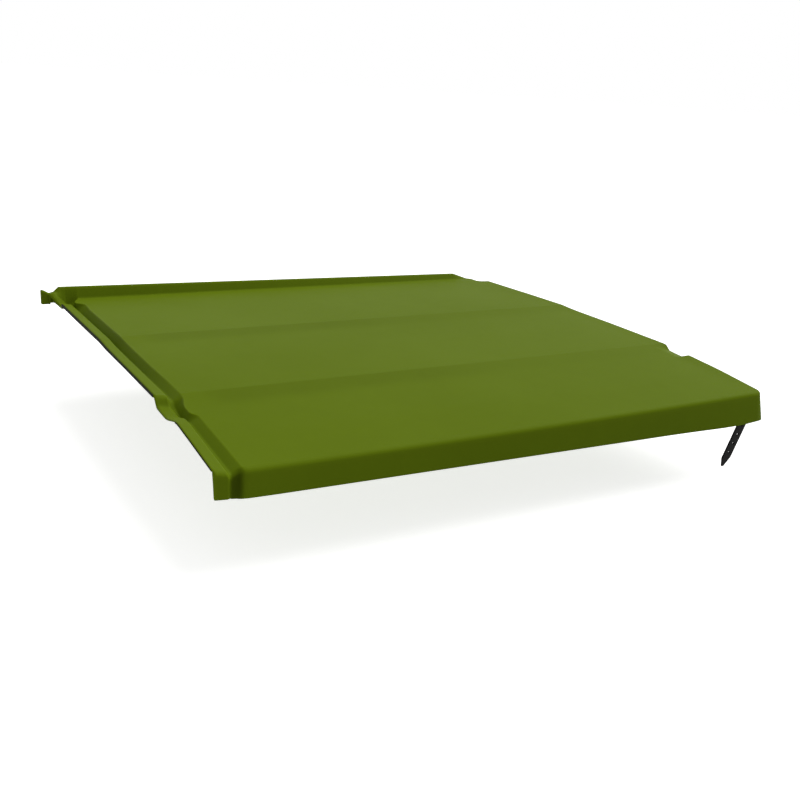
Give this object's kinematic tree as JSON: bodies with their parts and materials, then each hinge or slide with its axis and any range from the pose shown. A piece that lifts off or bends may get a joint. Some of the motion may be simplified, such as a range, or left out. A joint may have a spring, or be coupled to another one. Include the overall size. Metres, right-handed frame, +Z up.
{
  "type": "tonneau cover",
  "caption": "Hard moulded cover for a utility vehicle's cargo box, with creased deck, hook-over left rail, back upstand, cross bows, rim seals and rubber tie-down straps.",
  "frame": {"origin": "middle of the cover in plan, at the height of the cargo box rim that its seals rest on", "axes": "+X to the right seen from the tailgate, +Y from the tailgate towards the cab, +Z up"},
  "size_m": [1.4106, 1.21, 0.2752],
  "materials": {
    "green_plastic": "olive green moulded sheet, fine haircell grain, low sheen",
    "black_nylon": "black moulded nylon",
    "tube_aluminium": "mill-finish extruded tube",
    "rivet_aluminium": "bright blind rivets",
    "zinc_steel": "bright zinc plated steel",
    "seal_rubber": "matt black seal rubber",
    "foam_tape": "dark grey closed-cell tape",
    "strap_rubber": "black moulded rubber, satin"
  },
  "bodies": {
    "cover": {"cover_shell": "green_plastic", "front_bow": "tube_aluminium", "rear_bow": "tube_aluminium", "front_bow_pad": "foam_tape", "rear_bow_pad": "foam_tape", "front_bow_left_socket": "black_nylon", "front_bow_right_socket": "black_nylon", "rear_bow_left_socket": "black_nylon", "rear_bow_right_socket": "black_nylon", "bow_screws": "zinc_steel", "left_front_seal": "seal_rubber", "left_rear_seal": "seal_rubber", "right_seal": "seal_rubber", "front_seal": "seal_rubber", "rear_seal": "seal_rubber", "left_front_trim": "seal_rubber", "left_rear_trim": "seal_rubber", "front_strap_hanger": "zinc_steel", "rear_strap_hanger": "zinc_steel", "front_strap_pin": "zinc_steel", "rear_strap_pin": "zinc_steel", "front_pin_clip": "zinc_steel", "rear_pin_clip": "zinc_steel", "front_hanger_rivets": "rivet_aluminium", "rear_hanger_rivets": "rivet_aluminium"},
    "front_strap": {"front_strap": "strap_rubber"},
    "rear_strap": {"rear_strap": "strap_rubber"}
  },
  "joints": [
    {"name": "front_strap_swing", "type": "hinge", "parent": "cover", "child": "front_strap", "pos_m": [0.654, -0.591, -0.062], "axis": [1, 0, 0], "range_deg": [-34, 61]},
    {"name": "rear_strap_swing", "type": "hinge", "parent": "cover", "child": "rear_strap", "pos_m": [0.654, 0.591, -0.0235], "axis": [-1, 0, 0], "range_deg": [-34, 61]}
  ]
}
